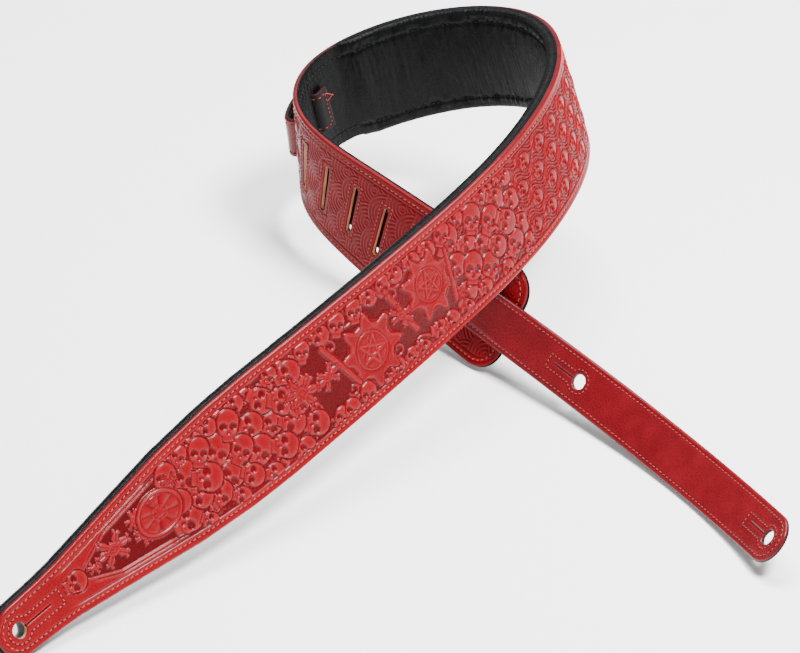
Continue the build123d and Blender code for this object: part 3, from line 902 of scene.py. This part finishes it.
# the slotted end: painted shade all over it, and less of the painted highlight on its ridges
slotted_end = soft(S - ARCS_FROM, 8)
# dye pooled in the recesses plus painted shade there; finish worn off the ridges plus painted highlight
tooled_dye_and_shade = np.maximum(np.clip((-0.22 - H) * 2.2, 0, 1) ** 0.8, 0.55 * slotted_end)
wear_and_highlight = np.clip((H - blurred(H, 3)) * 1.9, 0, 1) * (1 - 0.7 * slotted_end)
nearest = face_hw - np.abs(W)
nearest = np.minimum(nearest, np.where(S < 0, NOSE_R - np.hypot(S, W), 99))
nearest = np.minimum(nearest, BODY_END - S)
N = H - edge_round(nearest, 1.1)
for hole in body_holes:
    N = N - edge_round(np.clip(hole_distance(S, W, hole)[0], 0, None), 0.7)
front = sheet_piece("front_leather_tooled", S, W, N, on_body, body_holes, FACE_CELL, -FRONT_T,
                    [red_face, edge_paint, raw_edge, red_slotted_shaded, red_waves_shaded],
                    {"tooled_dye_and_shade": tooled_dye_and_shade * 0.95, "wear_and_highlight": wear_and_highlight * 0.5}, hole_mat=2,
                    face_mat=lambda s: np.where(s > ARCS_FROM, 3, np.where(s > WAVES_FROM - 1, 4, 0)))
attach(front, "strap")
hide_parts("front_leather", "front_leather_nose")


# ---------------------------------------- the padded lining
def lining_depth(s):
    """How far the lining's back lies behind its front, and whether there is pad inside it."""
    depth = np.interp(s, [PAD_END - PAD_FADE - 4, PAD_END + 1], [PAD_DEPTH, BARE_DEPTH])
    return depth, depth > 3


def lining_grid():
    """The lining's (s, w, n) from one edge of the leather round its back to the other."""
    grow, back_width = 0.8, 66
    rows = rows_between(-NOSE_R - grow, BODY_END + grow, LINING_CELL, NOSE_R, HEEL_R)
    # the rolled edge: how far it bulges in w, at a share of the depth
    side = np.array([(-0.9, 0.0), (0.35, 0.01), (0.72, 0.06), (0.78, 0.13), (0.42, 0.19), (0.74, 0.27),
                     (0.95, 0.40), (1.0, 0.56), (0.85, 0.76), (0.25, 0.92), (-1.3, 1.0)])
    back_cols = np.linspace(-1, 1, int(back_width / LINING_CELL))
    s = np.repeat(rows[:, None], len(side) * 2 + len(back_cols), 1)
    hw = body_hw(rows, grow)[:, None]
    depth, padded = (a[:, None] for a in lining_depth(rows))
    gather = 1 + 0.07 * value_noise(rows / 3.1, rows * 0, 41)[:, None] * padded
    up_w = hw - grow + side[None, :, 0] * 1.3 * np.where(padded, 1.0, 0.35) * gather
    up_n = LINING_N - side[None, :, 1] * depth
    w_back = back_cols[None] * (hw - grow - 2.4)
    n_back = np.broadcast_to(LINING_N - depth, w_back.shape)
    W = np.concatenate([up_w, w_back[:, ::-1], -up_w[:, ::-1]], 1)
    N = np.concatenate([up_n, n_back, up_n[:, ::-1]], 1)
    W = np.where(np.abs(W) < 0.01, 0.0, W)
    on_back = np.zeros(W.shape, bool)
    on_back[:, len(side):-len(side)] = True
    edge = hw - grow - np.abs(W)
    # a sewn channel with gathers along it, and wrinkles across the rest
    wrinkle = value_noise(s / 2.3, W / 16 + 0.25 * value_noise(s / 9, W / 9, 44), 42)
    broad = value_noise(s / 9, W / 30, 43)
    relief = 0.30 * wrinkle + 0.45 * broad
    groove = 1.1 * np.exp(-((edge - LINING_SEAM) / 1.1) ** 2)
    ruffle = 0.95 * value_noise(s / 2.1, W * 0, 45) * np.exp(-((edge - 7.0) / 3.2) ** 2)
    pillow = 0.55 * np.sqrt(np.clip(1 - (W / np.maximum(hw - 8, 1)) ** 2, 0, 1))
    inward = soft(edge - 3.2, 1.6)
    N = N + on_back * inward * (relief + ruffle + groove - pillow * 0.6) * np.where(padded, 0.8, 0.12)
    return s, W, N, on_back


S, W, N, on_back = lining_grid()
lining = sheet_piece("padded_lining", S, W, N, on_body, body_holes, LINING_CELL, -2.9,
                     [black_lining, black_lining], hole_where=on_back)
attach(lining, "strap")
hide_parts("lining", "lining_nose", "foam_pad", "nose_stiffener")


# ---------------------------------------- seams on the body
def rim_path(inset):
    """Closed line round the body at an even distance inside its outline."""
    s_up = np.linspace(0, BODY_END - HEEL_R, 200)
    up = [(s, float(body_hw(s)) - inset) for s in s_up]
    r_heel, r_nose = HEEL_R - inset, NOSE_R - inset
    heel = [(BODY_END - HEEL_R + r_heel * math.sin(q), BODY_HW - HEEL_R + r_heel * math.cos(q))
            for q in np.linspace(0.1, math.pi / 2, 10)]
    nose = [(-r_nose * math.sin(q), -r_nose * math.cos(q)) for q in np.linspace(0.05, math.pi - 0.05, 16)]
    low = [(s, -w) for s, w in (up + heel)[::-1]]
    return up + heel + low + nose


def keyhole_path(centre, keyhole, side):
    """Ring round a button hole that opens into a square-ended lobe."""
    ring, half, reach = keyhole
    open_at = math.asin(half / ring)
    arc = [(centre - side * ring * math.cos(q), ring * math.sin(q))
           for q in np.linspace(-(math.pi - open_at), math.pi - open_at, 24)]
    return arc + [(centre + side * reach, half), (centre + side * reach, -half)]


def box_path(centre, half_s, half_w):
    return [(centre - half_s, -half_w), (centre + half_s, -half_w),
            (centre + half_s, half_w), (centre - half_s, half_w)]


def seam(name, paths, place, n_face, mats, nodes, body="strap", **kw):
    """Stitches that ride on one body."""
    ob = stitches(name, paths, place, n_face, mats, **kw)
    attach(ob, body)
    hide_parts(*nodes)


seam("edge_stitching", [(rim_path(EDGE_SEAM), True)], on_body, -0.28, [red_thread, awl_shade], ["edge_thread"])
seam("nose_keyhole_stitching", [(keyhole_path(0, NOSE_KEYHOLE, 1), True)], on_body, -0.2,
     [red_thread, awl_shade], ["nose_keyhole_thread"], pitch=3.0, length=2.0)
for i, c in enumerate(SLOTS, 1):
    seam("slot_stitching_%d" % i, [(box_path(c, *SLOT_BOX), True)], on_body, -0.15,
         [red_thread, awl_shade], ["slot_thread_%d" % i], pitch=3.0, length=2.1, width=0.7)


def on_lining(s, w, n):
    """n counted from the bottom of the seam groove in the lining's back."""
    depth, padded = lining_depth(s)
    return on_body(s, w, n + LINING_N - depth + np.where(padded, 0.88, 0.13))


lining_seam = stitches("lining_stitching", [(rim_path(LINING_SEAM), True)], on_lining, 0.05,
                       [black_thread, awl_shade_black], length=2.6, width=0.7, slant=0.0, under=True)
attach(lining_seam, "strap")


# ---------------------------------------- the tail
def tail_grid():
    """The tail's (l, w), with the distance of each point from its edge."""
    rows = rows_between(TAIL_START, TAIL_LEN, TAIL_CELL, 0.0, TAIL_HW)
    cols = np.linspace(-1, 1, int(2 * TAIL_HW / TAIL_CELL) | 1)
    L = np.repeat(rows[:, None], len(cols), 1)
    hw = tail_hw(L)
    Wt = cols[None] * hw
    edge = np.minimum(hw - np.abs(Wt), L - TAIL_START)
    edge = np.minimum(edge, np.where(L > L_END, TAIL_HW - np.hypot(L - L_END, Wt), 99))
    return L, Wt, edge


tail_holes = [(L_MID, 0.0, 0.0, HOLE_R), (L_END, 0.0, 0.0, HOLE_R)]
L, Wt, edge = tail_grid()
Ht = np.full(L.shape, TAIL_HT)
Ht = Ht - edge_round(np.clip(edge, 0, None), 0.9)
Ht = Ht - 0.25 * np.exp(-((edge - TAIL_SEAM) / 0.7) ** 2)
Ht = Ht + 0.10 * value_noise(L / 26, Wt / 12, 61) + 0.02 * value_noise(L / 3, Wt / 3, 62)
for at in (L_MID, L_END):
    x = at - L
    Ht = Ht - 1.2 * np.exp(-(Wt / 0.42) ** 2) * soft(x - 3, 1) * soft(22 - x, 1)
    key = keyhole_distance(x, Wt, TAIL_KEYHOLE)
    Ht = Ht - 0.2 * np.exp(-(key / 0.6) ** 2)
    Ht = Ht - edge_round(np.clip(np.hypot(L - at, Wt) - HOLE_R, 0, None), 0.6)
tail_top = sheet_piece("tail_leather", L, Wt, Ht, on_tail, tail_holes, TAIL_CELL, -0.12,
                       [red_tail, tail_edge, tail_edge], hole_mat=2)
Hb = np.full(L.shape, -TAIL_HT) + edge_round(np.clip(edge, 0, None), 0.5)
Hb = Hb + 0.04 * value_noise(L / 2, Wt / 2, 63)
tail_back = sheet_piece("tail_suede_backing", L, Wt, Hb, on_tail, tail_holes, TAIL_CELL, -0.12,
                        [suede, tail_edge, tail_edge], hole_mat=2, flip=True)


def tail_rides(ob, *nodes):
    """Bake a tail piece's transform into its mesh, and hide the model's parts it stands in for."""
    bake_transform(ob)
    if nodes:
        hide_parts(*nodes)


tail_rides(tail_top, "held_tail_leather", "free_tail_leather")
tail_rides(tail_back, "held_tail_backing", "free_tail_backing")

line = TAIL_HW - TAIL_SEAM
seam_start = TAIL_START + 2.5
end_arc = [(L_END + line * math.sin(q), line * math.cos(q)) for q in np.linspace(0, math.pi, 20)]
tail_line = [(l, line) for l in np.linspace(seam_start, L_END, 60)] + end_arc
tail_line += [(l, -line) for l in np.linspace(L_END, seam_start, 60)]
tail_paths = [(tail_line, False), ([(seam_start, -line), (seam_start, line)], False)]
tail_seam = stitches("tail_stitching", tail_paths, on_tail, TAIL_HT - 0.2, [tail_thread, awl_shade],
                     pitch=3.3, length=2.2, width=0.7)
tail_rides(tail_seam, "held_tail_thread", "free_tail_thread")
tail_under = stitches("tail_stitching_under", tail_paths, on_tail, TAIL_HT - 0.2, [tail_thread, awl_shade_black],
                      pitch=3.3, length=2.0, width=0.7, under=True)
tail_rides(tail_under)


def tube(name, points, radius, mat):
    """A round cord through points in millimetres, closed at both ends."""
    points = np.array(points)
    fine = np.linspace(0, len(points) - 1, 4 * len(points))
    path = np.stack([np.interp(fine, np.arange(len(points)), points[:, k]) for k in range(3)], -1)
    for _ in range(3):
        path[1:-1] = (path[:-2] + 2 * path[1:-1] + path[2:]) / 4
    ahead = unit(np.gradient(path, axis=0))
    side = unit(np.cross(ahead, np.array([0.31, 0.52, 0.79])))
    up = np.cross(ahead, side)
    q = np.arange(8) * math.pi / 4
    r = np.full(len(path), radius)
    r[0] = r[-1] = radius * 0.3
    turn = np.cos(q)[None, :, None] * side[:, None] + np.sin(q)[None, :, None] * up[:, None]
    ring = path[:, None] + r[:, None, None] * turn
    faces = octagon_tube(len(path))
    uv = np.stack([np.repeat(np.arange(len(path)) * 0.01, 8), np.tile(q * 0.001, len(path))], -1)
    return make_mesh(name, ring.reshape(-1, 3), faces, uv, {}, [mat], np.zeros(len(faces), int))


# two ends of thread left loose behind the tail's inner end
for number, (w, reach, drift) in enumerate(((line - 0.5, 5.0, -3.5), (line - 6.5, 4.0, 3.5)), 1):
    l = TAIL_START + np.array([2.5, 1.2, -0.8, -2.5])
    ends = on_tail(l, w + drift * np.array([0, 0.1, 0.6, 1.0]),
                   -TAIL_HT - reach * np.array([0, 0.15, 0.4, 0.5]))
    loose = tube("loose_thread_end_%d" % number, ends, 0.32, red_thread)
    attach(loose, "strap")
for part, at in (("mid", L_MID), ("end", L_END)):
    seam("tail_%s_keyhole_stitching" % part, [(keyhole_path(at, TAIL_KEYHOLE, -1), True)], on_tail,
         TAIL_HT - 0.15, [tail_thread, awl_shade], ["tail_%s_keyhole_thread" % part], "tail",
         pitch=2.8, length=1.9, width=0.7)


# ---------------------------------------- stage, light and camera
FLOOR_HALF = 9.0
FLOOR_CORNERS = [(x * FLOOR_HALF, y * FLOOR_HALF, 0) for x, y in ((-1, -1), (1, -1), (1, 1), (-1, 1))]
CAMERA_AT, CAMERA_DOWN, CAMERA_LENS = (0.0043, -2.5037, 1.6381), 32.21, 221.0

floor_mesh = bpy.data.meshes.new("floor")
floor_mesh.from_pydata(FLOOR_CORNERS, [], [(0, 1, 2, 3)])
floor = bpy.data.objects.new("floor", floor_mesh)
bpy.context.collection.objects.link(floor)
floor_material, _, floor_shader = nodes_of("pale floor")
floor_shader.inputs["Base Color"].default_value = (0.93, 0.93, 0.93, 1)
floor_shader.inputs["Roughness"].default_value = 0.75
floor_mesh.materials.append(floor_material)

world = bpy.data.worlds.new("soft room")
bpy.context.scene.world = world
world.use_nodes = True
world.node_tree.nodes["Background"].inputs["Color"].default_value = (1, 1, 1, 1)
world.node_tree.nodes["Background"].inputs["Strength"].default_value = 0.45


def softbox(name, where, size, power):
    """A rectangular lamp in metres and watts, turned to the strap."""
    data = bpy.data.lights.new(name, "AREA")
    data.shape = "RECTANGLE"
    data.size, data.size_y = size
    data.energy = power
    ob = bpy.data.objects.new(name, data)
    bpy.context.collection.objects.link(ob)
    ob.location = where
    ob.rotation_euler = (Vector((0, 0, 0.05)) - Vector(where)).to_track_quat("-Z", "Y").to_euler()


softbox("key", (0.9, -0.5, 2.0), (0.7, 0.5), 146)
softbox("fill", (-0.3, -2.2, 0.9), (0.8, 0.6), 10)
softbox("top", (0.1, 0.6, 2.0), (1.2, 0.9), 100)

camera_data = bpy.data.cameras.new("camera")
camera_data.sensor_width = 36
camera_data.lens = CAMERA_LENS
camera_data.clip_end = 50
camera = bpy.data.objects.new("camera", camera_data)
bpy.context.collection.objects.link(camera)
camera.location = CAMERA_AT
camera.rotation_euler = (math.radians(90 - CAMERA_DOWN), 0, 0)
bpy.context.scene.camera = camera

bpy.context.view_layer.update()
